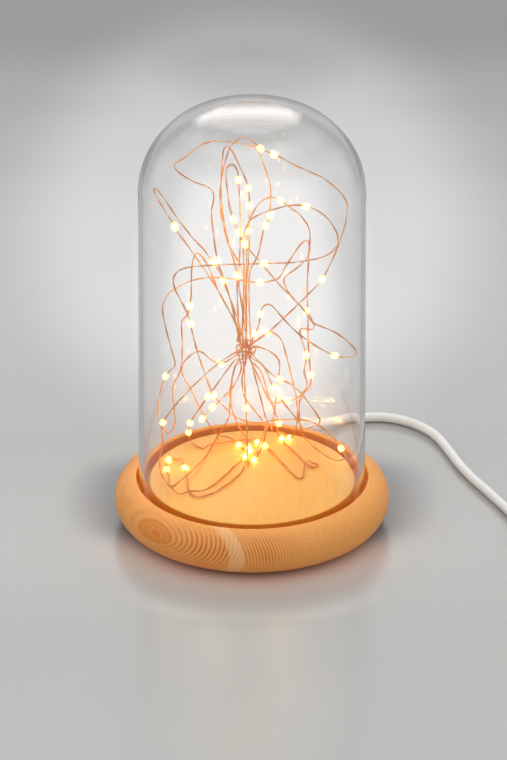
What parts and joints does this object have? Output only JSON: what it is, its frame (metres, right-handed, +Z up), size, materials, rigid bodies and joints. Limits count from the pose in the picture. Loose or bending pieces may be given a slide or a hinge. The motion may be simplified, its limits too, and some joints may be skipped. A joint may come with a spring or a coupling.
{
  "type": "glass cloche light",
  "caption": "Table light: a tall clear glass bell on a round pine base, with a bunched copper string of warm LEDs inside and a white plug-in lead.",
  "frame": {"origin": "centre of the base's footprint, on the surface that the feet stand on", "axes": "+Z up along the glass bell's axis; +Y to the back, where the lead leaves the base; +X to the right"},
  "size_m": [0.2533, 0.1576, 0.1968],
  "materials": {
    "pine": "satin oiled",
    "clear_glass": "clear polished",
    "copper_wire": "thin clear enamel over copper",
    "white_cable": "satin",
    "grey_plastic": "fine matte",
    "soft_rubber": "matte",
    "zinc_steel": "zinc plated",
    "board_green": "solder mask",
    "foam_tape": "closed-cell foam",
    "black_resin": "moulded resin",
    "resistor_ceramic": "matte",
    "capacitor_sleeve": "shrink sleeve",
    "red_core": "satin",
    "black_core": "satin",
    "nickel_shell": "nickel plated",
    "gold_contact": "gold flash",
    "tie_white": "matte"
  },
  "bodies": {
    "base": {"wooden_base": "pine", "bottom_cover": "grey_plastic", "cover_screw_1": "zinc_steel", "cover_screw_2": "zinc_steel", "cover_screw_3": "zinc_steel", "cover_screw_4": "zinc_steel", "foot_1": "soft_rubber", "foot_2": "soft_rubber", "foot_3": "soft_rubber", "foot_4": "soft_rubber", "driver_board": "board_green", "board_pad": "foam_tape", "driver_chip": "black_resin", "series_resistor": "resistor_ceramic", "storage_capacitor": "capacitor_sleeve", "cable_lead_in": "white_cable", "core_plus": "red_core", "core_minus": "black_core", "cable_clamp": "grey_plastic", "clamp_screw_1": "zinc_steel", "clamp_screw_2": "zinc_steel", "cable_strain_relief": "white_cable", "light_string": "copper_wire", "usb_cable": "white_cable", "usb_cable_coil": "white_cable", "coil_tie": "tie_white", "usb_cable_tail": "white_cable", "plug_relief": "white_cable", "plug_body": "white_cable", "plug_shell": "nickel_shell", "plug_tongue": "white_cable", "plug_contact_1": "gold_contact", "plug_contact_2": "gold_contact", "plug_contact_3": "gold_contact", "plug_contact_4": "gold_contact"},
    "dome": {"glass_dome": "clear_glass"}
  },
  "joints": [
    {"name": "dome_lift", "type": "slide", "parent": "base", "child": "dome", "axis": [0, 0, 1], "range_m": [0, 0.2]}
  ]
}
